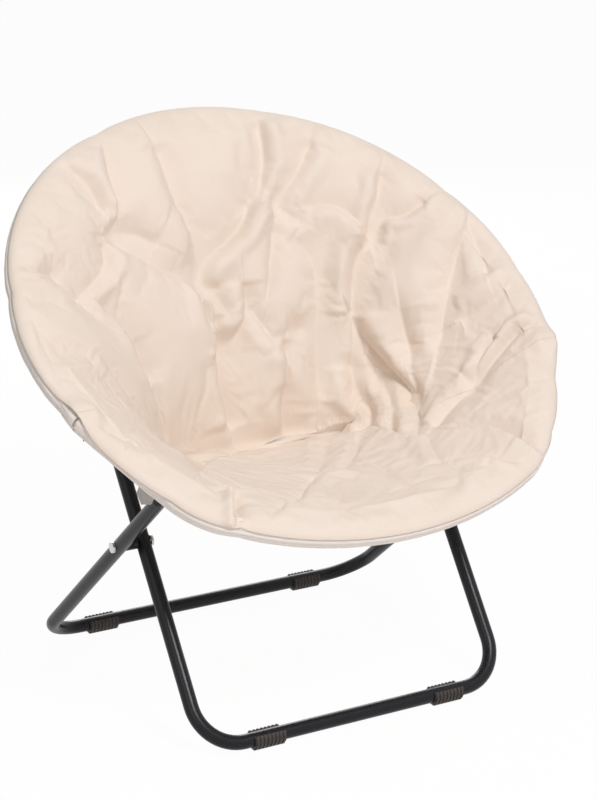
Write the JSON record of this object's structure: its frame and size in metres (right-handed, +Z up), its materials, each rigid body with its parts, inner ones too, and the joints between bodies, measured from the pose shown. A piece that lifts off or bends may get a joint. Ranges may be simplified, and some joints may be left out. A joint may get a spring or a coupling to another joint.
{
  "type": "folding saucer chair",
  "caption": "Folding saucer chair: a padded round fabric bowl in a hinged tube ring on two crossed U-shaped tube legs that fold flat.",
  "frame": {"origin": "on the floor under the middle of the chair's outline", "axes": "+Z up, the sitter faces -Y, +X is the sitter's left and the chair's width"},
  "size_m": [0.776, 0.6245, 0.7727],
  "materials": {
    "tube": "charcoal black gloss powder coat on bent steel tube",
    "hardware": "black powder coated steel",
    "rivet": "zinc plated steel rivet, satin",
    "foot": "dark brown black moulded, ribbed, matte",
    "hem": "off-white woven binding, sewn",
    "pad": "cream smooth woven polyester cover, quilted over fibre fill",
    "webbing": "light grey ribbed webbing"
  },
  "bodies": {
    "front_leg": {"front_leg_frame": "tube", "front_foot_left": "foot", "front_foot_right": "foot", "scissor_rivet_inner_left": "rivet", "scissor_rivet_inner_right": "rivet"},
    "rear_leg": {"rear_leg_frame": "tube", "rear_foot_left": "foot", "rear_foot_right": "foot", "scissor_rivet_left": "rivet", "scissor_rivet_right": "rivet", "scissor_spacer_left": "hardware", "scissor_spacer_right": "hardware"},
    "rear_ring": {"rear_ring_tube": "tube", "rear_hem_sleeve": "hem", "back_pad": "pad", "back_pivot_ear_left": "hardware", "back_pivot_ear_right": "hardware", "back_pivot_rivet_left": "rivet", "back_pivot_rivet_right": "rivet", "hinge_yoke_left": "hardware", "hinge_yoke_right": "hardware", "hinge_rivet_left": "rivet", "hinge_rivet_right": "rivet"},
    "front_ring": {"front_ring_tube": "tube", "front_hem_sleeve": "hem", "seat_pad": "pad", "front_pivot_ear_left": "hardware", "front_pivot_ear_right": "hardware", "front_pivot_rivet_left": "rivet", "front_pivot_rivet_right": "rivet", "hinge_tongue_left": "hardware", "hinge_tongue_right": "hardware", "webbing_tab_left": "webbing", "webbing_tab_right": "webbing"}
  },
  "joints": [
    {"name": "back_pivot", "type": "hinge", "parent": "front_leg", "child": "rear_ring", "pos_m": [0, 0.22277, 0.66178], "axis": [1, 0, 0], "range_deg": [0, 30.5]},
    {"name": "ring_fold", "type": "hinge", "parent": "rear_ring", "child": "front_ring", "pos_m": [0, -0.11267, 0.46504], "axis": [-1, 0, 0], "range_deg": [0, 174.58], "deforming": ["back_pad", "seat_pad"]},
    {"name": "front_pivot", "type": "hinge", "parent": "front_ring", "child": "rear_leg", "pos_m": [0, -0.17894, 0.37363], "axis": [1, 0, 0], "range_deg": [0, 76.1]}
  ],
  "couplings": [
    {"joint": "back_pivot", "follows": "ring_fold", "ratio": 0.17465},
    {"joint": "front_pivot", "follows": "ring_fold", "ratio": 0.43585}
  ]
}
